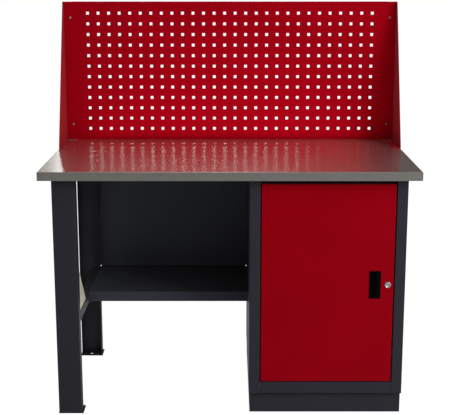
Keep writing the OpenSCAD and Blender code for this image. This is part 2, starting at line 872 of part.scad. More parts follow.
module board_base_screws() {
    color("gainsboro") for (x = base_screw_x)
        translate([x, base_screw_y, board_z0 + board_sheet]) screw(2 * board_sheet + core_bite - 1);
}

worktop_core();
worktop_sheet();
worktop_screws();
front_left_leg();
rear_left_leg();
front_left_foot();
rear_left_foot();
leg_top_plates();
lower_side_rail();
upper_side_rail();
corner_gusset();
side_frame_screws();
bay_back_panel();
bay_shelf();
bay_screws();
cupboard_left_side();
cupboard_right_side();
cupboard_back();
cupboard_floor();
cupboard_plinth();
cupboard_head_rail();
cupboard_rear_rail();
inner_shelf();
shelf_clips();
door_stops();
upper_hinge_bush();
lower_hinge_bush();
door_pan();
door_stiffener();
finger_pull();
upper_hinge_pin();
lower_hinge_pin();
lock_barrel();
lock_nut();
lock_plug();
lock_cam();
cam_screw();
back_board();
left_wing();
right_wing();
board_screws();
wing_screws();
board_base_screws();
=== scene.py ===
"""Finishes, fasteners, lock, finger pull, light and camera of a steel workbench with a
cupboard, an open bay and a perforated back board. Lengths are metres, and the front faces -Y."""

import math

import bmesh
import bpy
import numpy as np
from bpy.props import FloatProperty, FloatVectorProperty, PointerProperty
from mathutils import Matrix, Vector


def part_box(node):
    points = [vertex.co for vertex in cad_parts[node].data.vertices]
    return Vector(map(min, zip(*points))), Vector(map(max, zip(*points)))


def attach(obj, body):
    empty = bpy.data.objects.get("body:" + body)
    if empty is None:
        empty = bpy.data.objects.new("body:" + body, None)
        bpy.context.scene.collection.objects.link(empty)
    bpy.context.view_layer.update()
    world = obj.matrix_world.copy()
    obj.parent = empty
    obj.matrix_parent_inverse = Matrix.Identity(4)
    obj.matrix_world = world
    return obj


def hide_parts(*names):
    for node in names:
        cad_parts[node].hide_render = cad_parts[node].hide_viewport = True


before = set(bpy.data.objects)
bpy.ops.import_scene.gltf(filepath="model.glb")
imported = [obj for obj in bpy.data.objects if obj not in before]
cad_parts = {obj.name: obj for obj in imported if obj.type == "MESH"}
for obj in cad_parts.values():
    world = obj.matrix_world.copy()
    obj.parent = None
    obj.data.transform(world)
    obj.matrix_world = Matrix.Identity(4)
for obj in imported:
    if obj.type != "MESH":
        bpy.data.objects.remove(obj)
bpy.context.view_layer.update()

bl_info = {
    "name": "Steel workbench finishes",
    "version": (1, 0, 0),
    "blender": (4, 5, 0),
    "location": "3D View > Sidebar > Workbench",
    "description": "Finishes, fasteners, lock and finger pull of a steel workbench",
    "category": "Object",
}

X, Y, Z = 0, 1, 2
MM = 0.001
SAME_POINT = 0.001 * MM
SHARP_EDGE = math.radians(40)


def linear(hex_colour):
    """The linear colour of an sRGB hex value."""
    srgb = np.array([int(hex_colour[i : i + 2], 16) for i in (1, 3, 5)]) / 255
    return tuple(np.where(srgb <= 0.04045, srgb / 12.92, ((srgb + 0.055) / 1.055) ** 2.4).tolist())


def colour_property(name, description, hex_colour):
    """A colour that the user picks, its default given as sRGB hex."""
    return FloatVectorProperty(
        name=name, description=description, subtype="COLOR", size=3, min=0, max=1,
        default=linear(hex_colour),
    )


def length_property(name, description, millimetres):
    """A length that the user sets, its default given in millimetres."""
    return FloatProperty(
        name=name, description=description, subtype="DISTANCE", unit="LENGTH", min=0,
        precision=4, default=millimetres * MM,
    )


class BenchColours(bpy.types.PropertyGroup):
    """Colours of the workbench's finishes."""

    red_coat: colour_property("Red coat", "Powder coat of the door, board and wings", "#920010")
    grey_coat: colour_property("Grey coat", "Powder coat of the frame and the cupboard", "#302F35")
    # The sheets behind carry the grey coat painted lighter and bluer: painted light against the
    # shade in the bay and the cupboard.
    inner_coat: colour_property("Inner coat", "The same coat on the sheets behind", "#454850")
    galvanised: colour_property("Galvanised sheet", "Zinc of the worktop's sheet", "#F4F1EA")
    # The gusset's colour is its pale zinc made paler still: painted light against the bay's shade.
    gusset: colour_property("Gusset", "Passivated zinc of the corner gusset", "#E0D8BE")
    zinc: colour_property("Zinc plating", "Zinc of the screws, clips and pins", "#C9C8C4")
    chrome: colour_property("Chrome", "Chrome of the lock", "#DADBDD")
    plastic: colour_property("Black plastic", "Moulded plastic of the finger pull", "#060607")


class BenchGrain(bpy.types.PropertyGroup):
    """Real sizes of the patterns in the finishes."""

    peel: length_property("Peel", "Width of a dimple in the powder coat", 1.6)
    spangle: length_property("Spangle", "Width of a zinc crystal on the galvanised sheet", 9)
    chip: length_property("Chip", "Length of a wood chip in the worktop's core", 6)
    grit: length_property("Grit", "Width of a grain on the moulded plastic", 0.9)


class ScrewSizes(bpy.types.PropertyGroup):
    """Sizes of the pan-head screws."""

    head: length_property("Head", "Diameter of the head", 9)
    dome: length_property("Dome", "Height of the head", 2)
    shank: length_property("Shank", "Diameter of the shank", 4)
    slot: length_property("Slot", "Width of the cross recess", 1.2)
    reach: length_property("Reach", "Half the length of the cross recess", 2.4)
    depth: length_property("Depth", "Depth of the cross recess", 1.1)


class LockSizes(bpy.types.PropertyGroup):
    """Sizes of the cam lock."""

    body: length_property("Body", "Diameter of the barrel behind the door's sheet", 17)
    plug: length_property("Plug", "Diameter of the turning plug", 11)
    bore: length_property("Bore", "Diameter of the barrel's bore", 11.1)
    rim: length_property("Rim", "Radius round the edge of the barrel's head", 1.2)
    key_slot: length_property("Key slot", "Width of the key slot", 1.8)
    key_height: length_property("Key height", "Height of the key slot", 7.6)
    key_depth: length_property("Key depth", "Depth of the key slot", 6)


class PullSizes(bpy.types.PropertyGroup):
    """Sizes of the finger pull."""

    flange: length_property("Flange", "Height of the flange on the door", 1.2)
    rim: length_property("Rim", "Width of the flange round the cup", 2)
    wall: length_property("Wall", "Thickness of the cup's walls", 2)
    lip: length_property("Lip", "Width of the lip that the fingers hook behind", 10)
    corner: length_property("Corner", "Radius of the cup's corners", 2.4)


class BeadSizes(bpy.types.PropertyGroup):
    """Sizes of the bead of sealant under the board."""

    length: length_property("Length", "Length of the bead between the wings' flanges", 1138)
    fold: length_property("Fold", "Outer radius of the board's foot", 2.5)
    face: length_property("Face", "Distance of the board's face from the bench's middle", 315)


class StageSettings(bpy.types.PropertyGroup):
    """Light and camera."""

    fill: FloatProperty(name="Fill", description="Strength of the even light", min=0, default=0.26)
    key: FloatProperty(
        name="Key", description="Power of the main soft light, in watts", min=0, default=84
    )
    rear: FloatProperty(
        name="Rear", description="Power of the lamps behind the board, in watts", min=0, default=15
    )
    lens: FloatProperty(name="Lens", description="Focal length in mm", min=1, default=83)
    pitch: FloatProperty(
        name="Pitch", description="Angle of the camera from straight down", subtype="ANGLE",
        default=math.radians(77.47),
    )


# Surfaces


def rounded_outline(width, height, radius, per_corner=8):
    """Points round a rectangle: at each corner a quarter circle, c + r (cos a, sin a)."""
    radius = min(radius, width / 2, height / 2)
    angles = np.arange(4)[:, None] * np.pi / 2 + np.linspace(0, np.pi / 2, per_corner)
    corners = np.array([[1, 1], [-1, 1], [-1, -1], [1, -1]])
    middles = corners * (np.array([width, height]) / 2 - radius)
    arcs = radius * np.stack([np.cos(angles), np.sin(angles)], -1)
    return (middles[:, None] + arcs).reshape(-1, 2)


def circle(radius):
    """Points round a circle, as many as round a rounded outline."""
    return rounded_outline(2 * radius, 2 * radius, radius)


def ring(outline, height):
    """An outline set at one height: (x, y) becomes (x, y, height)."""
    return np.concatenate([outline, np.full((len(outline), 1), height)], 1)


def quarter(start, end, steps=5):
    """Weights of a rounded edge from start to end: start + (end - start) (sin a, 1 - cos a)."""
    angles = np.linspace(0, np.pi / 2, steps)
    return np.stack(
        [
            start[0] + (end[0] - start[0]) * np.sin(angles),
            start[1] + (end[1] - start[1]) * (1 - np.cos(angles)),
        ],
        1,
    )


def lathe(profile, steps=64):
    """Turns a profile of (radius, height) round the axis: (r cos a, r sin a, h)."""
    profile = np.asarray(profile, float)
    angles = np.arange(steps) * 2 * np.pi / steps
    r, h = profile[:, :1], profile[:, 1:]
    return np.stack([r * np.cos(angles), r * np.sin(angles), h + 0 * angles], -1)


def ring_faces(rings, steps, loop):
    """Quads between neighbouring rings, and from the last ring to the first if loop."""
    corner = np.arange(rings * steps).reshape(rings, steps)
    a = corner if loop else corner[:-1]
    b = np.roll(corner, -1, 0) if loop else corner[1:]
    return np.stack([a, np.roll(a, -1, 1), np.roll(b, -1, 1), b], -1).reshape(-1, 4)


def shell(name, parts, loop=False):
    """One piece from one or more grids of points, each (rings, steps, 3) and each closed: its
    doubles are merged, its faces point outwards and its sharp edges stay sharp."""
    parts = np.asarray(parts, float)
    if parts.ndim == 3:
        parts = parts[None]
    count, rings, steps = parts.shape[:3]
    one = ring_faces(rings, steps, loop)
    faces = (one[None] + np.arange(count)[:, None, None] * rings * steps).reshape(-1, 4)
    mesh = bpy.data.meshes.new(name)
    mesh.vertices.add(parts.size // 3)
    mesh.vertices.foreach_set("co", parts.ravel())
    mesh.loops.add(faces.size)
    mesh.loops.foreach_set("vertex_index", faces.ravel())
    mesh.polygons.add(len(faces))
    mesh.polygons.foreach_set("loop_start", np.arange(0, faces.size, 4))
    mesh.update(calc_edges=True)
    mesh.validate()
    work = bmesh.new()
    work.from_mesh(mesh)
    bmesh.ops.remove_doubles(work, verts=work.verts, dist=SAME_POINT)
    bmesh.ops.dissolve_degenerate(work, edges=work.edges, dist=SAME_POINT / 10)
    bmesh.ops.recalc_face_normals(work, faces=work.faces)
    work.to_mesh(mesh)
    work.free()
    mesh.shade_smooth()
    mesh.set_sharp_from_angle(angle=SHARP_EDGE)
    piece = bpy.data.objects.new(name, mesh)
    bpy.context.scene.collection.objects.link(piece)
    return piece


def fit_piece(piece, finish, body, slot, *nodes):
    """Gives a new piece its finish and its place on a body, and hides the nodes it stands for."""
    piece.data.materials.append(finish)
    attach(piece, body)
    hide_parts(*nodes)


def node_points(node):
    """The vertices of a CAD node as an array."""
    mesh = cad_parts[node].data
    points = np.zeros(len(mesh.vertices) * 3, np.float32)
    mesh.vertices.foreach_get("co", points)
    return points.reshape(-1, 3).astype(float)


def solids_of(node, reach):
    """The separate solids of a CAD node: the vertices closer to the first one than reach."""
    points = node_points(node)
    found = []
    while len(points):
        near = np.linalg.norm(points - points[0], axis=1) < reach
        found.append(points[near])
        points = points[~near]
    return found


# Finishes


def add(tree, kind, inputs=None, output=0, **settings):
    """Adds a node with its settings and gives one of its outputs. An input is a value, or
    another node's output that is linked to it."""
    node = tree.nodes.new(kind)
    for name, value in settings.items():
        setattr(node, name, value)
    for name, value in (inputs or {}).items():
        if isinstance(value, bpy.types.NodeSocket):
            tree.links.new(value, node.inputs[name])
        else:
            node.inputs[name].default_value = value
    return node.outputs[output] if node.outputs else None


def rgba(colour, factor=1.0):
    """A colour for a node, made lighter or darker."""
    return (*(min(1.0, c * factor) for c in colour[:3]), 1.0)


def vary(tree, pattern, first, last, start=0.3, end=0.7):
    """Spreads a pattern's values from start to end over two numbers or over two colours."""
    values = {"Value": pattern, "From Min": start, "From Max": end}
    if isinstance(first, float):
        values.update({"To Min": first, "To Max": last})
        return add(tree, "ShaderNodeMapRange", values)
    share = add(tree, "ShaderNodeMapRange", values)
    return add(tree, "ShaderNodeMix", {0: share, 6: first, 7: last}, 2, data_type="RGBA")


def start_finish(name):
    """An empty material with the object's coordinates."""
    material = bpy.data.materials.new(name)
    material.use_nodes = True
    tree = material.node_tree
    tree.nodes.clear()
    return material, tree, add(tree, "ShaderNodeTexCoord", output="Object")


def end_finish(material, inputs):
    """Gives a material its shader, with the patterns and constants of the finish."""
    surface = add(material.node_tree, "ShaderNodeBsdfPrincipled", inputs)
    add(material.node_tree, "ShaderNodeOutputMaterial", {"Surface": surface})
    return material


def powder_coat(name, colour, peel, roughness, gloss, haze):
    """Powder-coated steel, sprayed and baked: an even satin colour whose thickness drifts
    slowly along a sheet, with fine flecks. The peel is finer than the eye makes out from here
    and only breaks up the gloss, and the haze lightens the coat where it turns away."""
    material, tree, place = start_finish(name)
    drift = add(tree, "ShaderNodeTexNoise", {"Vector": place, "Scale": 1 / (220 * MM)})
    speck = add(tree, "ShaderNodeTexNoise", {"Vector": place, "Scale": 1 / (7 * MM)})
    dimples = add(tree, "ShaderNodeTexNoise", {"Vector": place, "Scale": 1 / peel})
    even = vary(tree, drift, rgba(colour, 0.94), rgba(colour, 1.06))
    fleck = vary(tree, speck, 0.0, 0.25)
    return end_finish(material, {
        "Base Color": vary(tree, fleck, even, rgba(colour, 1.25), 0.0, 1.0),
        "Roughness": vary(tree, speck, roughness - 0.05, roughness + 0.05),
        "Normal": add(tree, "ShaderNodeBump", {"Height": dimples, "Distance": 0.03 * MM}),
        "IOR": 1.5, "Specular IOR Level": gloss, "Specular Tint": rgba(colour, 1 / max(colour[:3])),
        "Sheen Weight": haze, "Sheen Roughness": 0.5,
    })


def galvanised_sheet(name, colour, spangle):
    """Hot-dip galvanised sheet, skin-passed between rolls: bright zinc whose crystals each
    shine a little differently. The rolls leave fine lines along the sheet, so that a reflection
    smears towards the eye and stays sharp sideways. The lines are drawn 2.5 mm wide, which is
    coarser than the real ones, so that they show. The sheet lies nearly flat on its core."""
    material, tree, place = start_finish(name)
    cells = {"Vector": place, "Scale": 1 / spangle, "Randomness": 1.0}
    crystals = add(tree, "ShaderNodeTexVoronoi", cells, "Color")
    crystal = add(tree, "ShaderNodeSeparateColor", {"Color": crystals})
    along = add(tree, "ShaderNodeMapping", {"Vector": place, "Scale": (0.02, 1.0, 1.0)})
    lines = add(tree, "ShaderNodeTexNoise", {"Vector": along, "Scale": 1 / (2.5 * MM)})
    tone = add(tree, "ShaderNodeMath", {0: crystal, 1: 0.7, 2: lines}, operation="MULTIPLY_ADD")
    waves = add(tree, "ShaderNodeTexNoise", {"Vector": place, "Scale": 1 / (80 * MM)})
    return end_finish(material, {
        "Base Color": vary(tree, tone, rgba(colour, 0.93), rgba(colour, 1.07), 0.3, 1.3),
        "Metallic": 1.0, "Anisotropic": 0.72,
        "Roughness": vary(tree, crystal, 0.24, 0.25, 0.0, 1.0),
        "Tangent": add(tree, "ShaderNodeTangent", direction_type="RADIAL", axis="X"),
        "Normal": add(tree, "ShaderNodeBump", {"Height": waves, "Distance": 0.01 * MM}),
    })


def zinc_plating(name, colour, roughness, patch=5 * MM, metal=1.0):
    """Zinc or nickel plated steel: a dim silver skin, clouded in patches where the bath
    dried. Where metal is below one, part of the colour shows as a matt tone: painted light
    that keeps the piece pale where a full metal would mirror dark surroundings."""
    material, tree, place = start_finish(name)
    cloud = add(
        tree, "ShaderNodeTexNoise", {"Vector": place, "Scale": 1 / patch, "Detail": 3.0}
    )
    grain = add(tree, "ShaderNodeTexNoise", {"Vector": place, "Scale": 1 / (0.8 * MM)})
    return end_finish(material, {
        "Base Color": vary(tree, cloud, rgba(colour, 0.9), rgba(colour, 1.08)),
        "Metallic": metal,
        "Roughness": vary(tree, cloud, roughness - 0.05, roughness + 0.06),
        "Normal": add(tree, "ShaderNodeBump", {"Height": grain, "Distance": 0.006 * MM}),
    })


def chrome_plating(name, colour):
    """Polished chrome on a die casting: bright and smooth, with a trace of handling. A quarter
    of it is matt: painted light that keeps it pale where it would mirror the dark room in front."""
    material, tree, place = start_finish(name)
    smear = add(tree, "ShaderNodeTexNoise", {"Vector": place, "Scale": 1 / (3 * MM)})
    return end_finish(material, {
        "Base Color": vary(tree, smear, rgba(colour, 0.94), rgba(colour)),
        "Metallic": 0.75,
        "Roughness": vary(tree, smear, 0.1, 0.2),
    })


def moulded_plastic(name, colour, grit, roughness):
    """Moulded ABS or nylon from an eroded mould, whose grain makes it matt and dark."""
    material, tree, place = start_finish(name)
    grain = add(tree, "ShaderNodeTexNoise", {"Vector": place, "Scale": 1 / grit, "Detail": 3.0})
    return end_finish(material, {
        "Base Color": vary(tree, grain, rgba(colour, 0.8), rgba(colour, 1.3)),
        "Roughness": vary(tree, grain, roughness - 0.06, roughness + 0.06),
        "Normal": add(tree, "ShaderNodeBump", {"Height": grain, "Distance": 0.03 * MM}),
        "IOR": 1.5, "Specular IOR Level": 0.05,
    })


def sealant(name, colour):
    """Acrylic sealant in the board's colour: matt, with a skin drawn smooth by a finger."""
    material, tree, place = start_finish(name)
    skin = add(tree, "ShaderNodeTexNoise", {"Vector": place, "Scale": 1 / (8 * MM)})
    return end_finish(material, {
        "Base Color": vary(tree, skin, rgba(colour, 0.92), rgba(colour, 1.05)),
        "Normal": add(tree, "ShaderNodeBump", {"Height": skin, "Distance": 0.02 * MM}),
        "Roughness": 0.6, "Specular IOR Level": 0.2,
    })


def chipboard(name, chip):
    """Raw chipboard: pressed chips of pale and dark wood, lying flat, matt."""
    material, tree, place = start_finish(name)
    flat = add(tree, "ShaderNodeMapping", {"Vector": place, "Scale": (1, 1, 4)})
    chips = add(tree, "ShaderNodeTexVoronoi", {"Vector": flat, "Scale": 1 / chip}, "Color")
    wood = add(tree, "ShaderNodeSeparateColor", {"Color": chips})
    edges = {"Height": chips.node.outputs["Distance"], "Distance": 0.15 * MM}
    pale, dark = rgba(linear("#D3B183")), rgba(linear("#8F6B45"))
    return end_finish(material, {
        "Base Color": vary(tree, wood, dark, pale, 0.0, 1.0),
        "Roughness": 0.85,
        "Normal": add(tree, "ShaderNodeBump", edges),
    })


PAINTED_RED = ["door_pan", "back_board", "left_wing", "right_wing"]
PAINTED_GREY = [
    "front_left_leg", "lower_side_rail", "upper_side_rail", "leg_top_plates",
    "cupboard_left_side", "cupboard_right_side", "cupboard_floor",
    "cupboard_head_rail", "cupboard_plinth", "front_left_foot", "rear_left_foot",
    "upper_hinge_pin", "lower_hinge_pin",
]
PAINTED_INNER = [
    "bay_back_panel", "cupboard_back", "cupboard_rear_rail", "inner_shelf", "door_stiffener",
]
ZINC_PLATED = ["shelf_clips", "door_stops", "lock_cam", "cam_screw"]
NYLON = ["upper_hinge_bush", "lower_hinge_bush"]
COATS = [
    # nodes, finish, colour and how much lighter it is painted, above 1 as painted light and below 1
    # as painted shade, then roughness, gloss and haze
    (PAINTED_RED, "Red powder coat", "red_coat", 1.0, 0.42, 0.25, 0.04),
    (PAINTED_GREY, "Grey powder coat", "grey_coat", 1.0, 0.55, 0.15, 0.0),
    # The inner coat is the grey coat painted lighter: painted light for the shaded sheets behind.
    (PAINTED_INNER, "Inner powder coat", "inner_coat", 1.0, 0.45, 0.3, 0.0),
    # The shelf's coat is the inner coat darkened to 0.74: painted shade under the worktop.
    (["bay_shelf"], "Shelf powder coat", "inner_coat", 0.74, 0.45, 0.3, 0.0),
    # The rear leg's coat is the grey coat lightened 1.45 times: painted light against the shade at
    # the back of the bay.
    (["rear_left_leg"], "Rear leg powder coat", "grey_coat", 1.45, 0.55, 0.15, 0.0),
]


def dress(nodes, finish):
    """Gives CAD nodes one finish."""
    for node in nodes:
        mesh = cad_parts[node].data
        mesh.materials.clear()
        mesh.materials.append(finish)


class WORKBENCH_OT_coat_steel(bpy.types.Operator):
    """Powder-coat the frame, the bay, the cupboard, the door and the back board"""

    bl_idname = "workbench.coat_steel"
    bl_label = "Coat the steel"

    def execute(self, context):
        colours, peel = context.scene.bench_colours, context.scene.bench_grain.peel
        for nodes, name, colour, lighter, *feel in COATS:
            coat = rgba(getattr(colours, colour), lighter)
            dress(nodes, powder_coat(name, coat, peel, *feel))
        return {"FINISHED"}


class WORKBENCH_OT_finish_metal(bpy.types.Operator):
    """Galvanise the worktop's sheet, plate the small parts and show the chipboard core"""

    bl_idname = "workbench.finish_metal"
    bl_label = "Finish the bare metal"

    def execute(self, context):
        colours, grain = context.scene.bench_colours, context.scene.bench_grain
        sheet = galvanised_sheet("Galvanised sheet", colours.galvanised, grain.spangle)
        # The gusset is pale passivated zinc, painted paler and made nearly matt: painted light that
        # keeps it bright in the bay's shade.
        gusset = zinc_plating("Passivated zinc", colours.gusset, 0.6, 30 * MM, 0.05)
        dress(["worktop_sheet"], sheet)
        dress(["worktop_core"], chipboard("Raw chipboard", grain.chip))
        dress(["corner_gusset"], gusset)
        dress(ZINC_PLATED, zinc_plating("Zinc plating", colours.zinc, 0.35))
        dress(NYLON, moulded_plastic("Black nylon", linear("#151517"), grain.grit, 0.45))
        return {"FINISHED"}


# Bead under the board


def bead_section(slit, fold, clear, steps=8):
    """Section of the bead, y backwards from the board's face: flat below, and above it follows
    the fold's outside, z = slit + r - sqrt(r^2 - (r - y)^2), a small clearance away. It starts
    an eighth of the fold's radius behind the face, where a finger has drawn it back."""
    y = np.linspace(0.12 * fold, fold, steps)
    top = slit + fold - np.sqrt(fold**2 - (fold - y) ** 2) - clear
    back = [[2 * fold, slit - clear], [2 * fold, clear]]
    return np.concatenate([np.stack([y, top], 1), back, [[y[0], clear]]])


class WORKBENCH_OT_lay_bead(bpy.types.Operator):
    """Seal the slit between the worktop and the board's folded foot with a bead of sealant"""

    bl_idname = "workbench.lay_bead"
    bl_label = "Lay the bead"

    def execute(self, context):
        bead, colours = context.scene.bench_bead, context.scene.bench_colours
        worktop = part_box("worktop_sheet")[1][Z]
        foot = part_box("back_board")[0][Z]
        section = bead_section(foot - worktop, bead.fold, 0.03 * MM) + [bead.face, worktop]
        middle = np.tile(section.mean(0), (len(section), 1))
        half = bead.length / 2
        ends = [(-half, middle), (-half, section), (half, section), (half, middle)]
        rings = [np.insert(outline, 0, x, axis=1) for x, outline in ends]
        piece = shell("board_foot_bead", np.stack(rings))
        fit_piece(piece, sealant("Red sealant", colours.red_coat), "bench", "red_paint")
        return {"FINISHED"}


# Screws

SCREW_GROUPS = {
    "worktop_screws": ("frame_fixing_screws", Z),
    "side_frame_screws": ("gusset_fixing_screws", X),
    "bay_screws": ("shelf_fixing_screws", X),
    "board_screws": ("board_fixing_screws", Y),
    "wing_screws": ("wing_fixing_screws", Z),
    "board_base_screws": ("board_base_fixing_screws", Z),
}


def cross_outline(slot, reach, steps):
    """Outline of a cross recess: at angle a its radius is reach, or where that is less,
    half the slot's width over the smaller of |sin a| and |cos a|."""
    angles = (np.arange(steps) + 0.5) * 2 * np.pi / steps
    narrow = np.minimum(np.abs(np.sin(angles)), np.abs(np.cos(angles)))
    radius = np.minimum(reach, slot / 2 / narrow)
    return angles, radius


def pan_head_screw(sizes, length, steps=40):
    """Rings of a pan-head screw with z = 0 under its head. The head is the superellipse
    (r / R)^p + (z / h)^p = 1 with a cross recess sunk in it, and the shank ends in a cone."""
    power = 2.4
    angles, cross = cross_outline(sizes.slot, sizes.reach, steps)
    radius, height = sizes.head / 2, sizes.dome

    def dome(r):
        return height * (1 - np.minimum(r / radius, 1) ** power) ** (1 / power)

    rows = [(0 * cross, 0 * cross + height - sizes.depth)]
    rows.append((0.8 * cross, 0 * cross + height - sizes.depth))
    rows.append((cross, dome(cross)))
    for share in (0.06, 0.3, 0.5, 0.68, 0.82, 0.92, 0.98, 1.0):
        r = cross + (radius - cross) * share
        rows.append((r, dome(r)))
    for r, z in (
        (radius, 0), (sizes.shank / 2, 0), (sizes.shank / 2, sizes.shank / 3 - length),
        (sizes.shank / 5, -length), (0, -length),
    ):
        rows.append((0 * cross + r, 0 * cross + z))
    return np.stack(
        [np.stack([r * np.cos(angles), r * np.sin(angles), z], -1) for r, z in rows]
    )


def stand_on(points, base, axis, sign):
    """Turns a piece's z axis to an axis of the bench and moves its origin to base."""
    out = np.zeros(3)
    out[axis] = sign
    across = np.roll(np.abs(out), 1)
    up = np.cross(out, across)
    return base + points[..., :1] * across + points[..., 1:2] * up + points[..., 2:] * out


def screw_place(solid, axis):
    """Where a CAD screw stands: the middle of its widest ring, which way its head points,
    and the length of its shank."""
    middle = (solid.min(0) + solid.max(0)) / 2
    off = np.linalg.norm(np.delete(solid - middle, axis, 1), axis=1)
    base = solid[off > 0.98 * off.max(), axis].mean()
    low, high = solid[:, axis].min(), solid[:, axis].max()
    narrow = solid[off < 0.75 * off.max(), axis]
    head_up = abs(base - high) < abs(base - low)
    if len(narrow) and min(high - base, base - low) < 0.01 * MM:
        # a head with no shank under it stands on its widest ring
        head_up = base - low < high - base
    sign = 1 if head_up else -1
    middle[axis] = base
    return middle, sign, (base - low) if head_up else (high - base)


class WORKBENCH_OT_drive_screws(bpy.types.Operator):
    """Put a pan-head screw with a cross recess at every screw of the bench"""

    bl_idname = "workbench.drive_screws"
    bl_label = "Drive the screws"

    def execute(self, context):
        sizes, colours = context.scene.bench_screws, context.scene.bench_colours
        bright = zinc_plating("Bright zinc plating", colours.zinc, 0.3, 2 * MM)
        # The bay's screws get the zinc darkened to 0.4: painted shade for the dark bay they sit in.
        bay_shade_zinc = zinc_plating("Dull zinc plating", rgba(colours.zinc, 0.4), 0.5, 2 * MM)
        for node, (name, axis) in SCREW_GROUPS.items():
            screws = []
            for solid in solids_of(node, 24 * MM):
                base, sign, length = screw_place(solid, axis)
                screws.append(stand_on(pan_head_screw(sizes, length), base, axis, sign))
            piece = shell(name, screws)
            fit_piece(piece, bay_shade_zinc if node == "bay_screws" else bright, "bench", "zinc", node)
        return {"FINISHED"}


# Lock


def on_lock(points, face):
    """Turns a lock piece so that its +z points out of the door, its origin on the door's face."""
    low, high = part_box("lock_barrel")
    base = np.array([(low[X] + high[X]) / 2, face, (low[Z] + high[Z]) / 2])
    return stand_on(points, base, Y, -1)


def barrel_section(sizes, head_radius, head_height, depth):
    """Half section of the barrel, from its bore over the dished head and the rounded rim,
    which is a quarter of an ellipse, back along the threaded body."""
    bore, body = sizes.bore / 2, sizes.body / 2
    dish = bore + 0.55 * (head_radius - bore)
    mouth = [(bore, -depth), (bore, head_height - 1.1 * MM)]
    cone = [(bore + 0.3 * MM, head_height - 0.8 * MM), (dish, head_height - 0.3 * MM)]
    crown = [(dish + 0.5 * MM, head_height)]
    start = (head_radius - sizes.rim, head_height)
    rim = quarter(start, (head_radius, head_height - sizes.rim), 7)
    back = [(head_radius, 0), (body, 0), (body, -depth)]
    return np.concatenate([mouth, cone, crown, rim, back])


def plug_rings(sizes, head_height, depth):
    """Rings of the plug: the key slot's floor and walls, then the face, which is a blend
    (1 - s) slot + s circle from the slot's outline to the rim, then the side and the end."""
    slot = rounded_outline(sizes.key_slot, sizes.key_height, 0.4 * MM)
    rim = circle(sizes.plug / 2)
    face = head_height - 0.5 * MM
    edge = 0.4 * MM
    small = rim * (1 - 2 * edge / sizes.plug)
    rings = [
        ring(slot * 0, face - sizes.key_depth),
        ring(slot * 0.96, face - sizes.key_depth),
        ring(slot, face - 0.2 * MM),
        ring(slot * 1.1, face),
    ]
    rings += [ring((1 - s) * slot * 1.1 + s * small, face) for s in (0.35, 0.7, 1.0)]
    for out, down in quarter((0, 0), (1, 1))[1:]:
        rings.append(ring(small + (rim - small) * out, face - edge * down))
    rings += [ring(rim, -depth), ring(rim * 0, -depth)]
    return np.stack(rings)


class WORKBENCH_OT_fit_lock(bpy.types.Operator):
    """Fit the chromed barrel, its turning plug with the key slot and the nut behind the door"""

    bl_idname = "workbench.fit_lock"
    bl_label = "Fit the lock"

    def execute(self, context):
        sizes, colours = context.scene.bench_lock, context.scene.bench_colours
        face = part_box("door_pan")[0][Y]
        low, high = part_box("lock_barrel")
        head_height, depth = face - low[Y], high[Y] - face
        section = barrel_section(sizes, (high[X] - low[X]) / 2, head_height, depth)
        # The chrome is a quarter matt: painted light that keeps the lock pale against the dark room
        # it mirrors.
        chrome = chrome_plating("Polished chrome", colours.chrome)
        barrel = shell("lock_barrel_turned", on_lock(lathe(section), face), loop=True)
        fit_piece(barrel, chrome, "door", "chrome", "lock_barrel")
        plug_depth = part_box("lock_cam")[0][Y] - face
        plug = shell("lock_plug_turned", on_lock(plug_rings(sizes, head_height, plug_depth), face))
        # The plug's plating is half matt: painted light that keeps the plug pale where it would
        # mirror the dark room.
        nickel = zinc_plating("Nickel plating", colours.zinc, 0.3, 3 * MM, 0.5)
        fit_piece(plug, nickel, "lock", "chrome", "lock_plug")
        dress(["lock_nut"], zinc_plating("Nut plating", colours.zinc, 0.35))
        return {"FINISHED"}


# Finger pull


def cup_rings(sizes, width, height, depth):
    """Rings of the finger pull, z out of the door: over the flange's rounded rim, in through
    the mouth beside the lip, under the lip to the cup's full width, down its walls, over the
    rounded floor and back round the outside. Each ring is a rounded outline."""
    inner_w = width - 2 * sizes.rim - 2 * sizes.wall
    inner_h = height - 2 * sizes.rim - 2 * sizes.wall
    mouth_w = inner_w - sizes.lip
    shift = np.array([-sizes.lip / 2, 0])
    corner = sizes.corner
    edge = 0.7 * MM

    def outline(w, h, r, inset=0.0, move=(0, 0)):
        return rounded_outline(w - 2 * inset, h - 2 * inset, max(r - inset, 0.3 * MM)) + move

    rings = [ring(outline(width, height, corner), 0)]
    for inset, drop in quarter((edge, 0), (0, edge))[::-1]:
        rings.append(ring(outline(width, height, corner, inset), sizes.flange - drop))
    for grow, drop in quarter((edge, 0), (0, edge)):
        rings.append(ring(outline(mouth_w, inner_h, corner, -grow, shift), sizes.flange - drop))
    under = -sizes.wall
    floor = sizes.wall - depth
    rings.append(ring(outline(mouth_w, inner_h, corner, 0, shift), under))
    rings.append(ring(outline(inner_w, inner_h, corner), under - 0.2 * MM))
    round_floor = 3 * MM
    for inset, rise in quarter((round_floor, 0), (0, round_floor))[::-1]:
        rings.append(ring(outline(inner_w, inner_h, corner, inset), floor + rise))
    rings.append(ring(outline(inner_w, inner_h, corner) * 0, floor))
    body = outline(width - 2 * sizes.rim, height - 2 * sizes.rim, corner)
    rings += [ring(body * 0, -depth), ring(body * 0.97, -depth), ring(body, -depth + 0.6 * MM)]
    rings.append(ring(body, 0))
    return np.stack(rings)


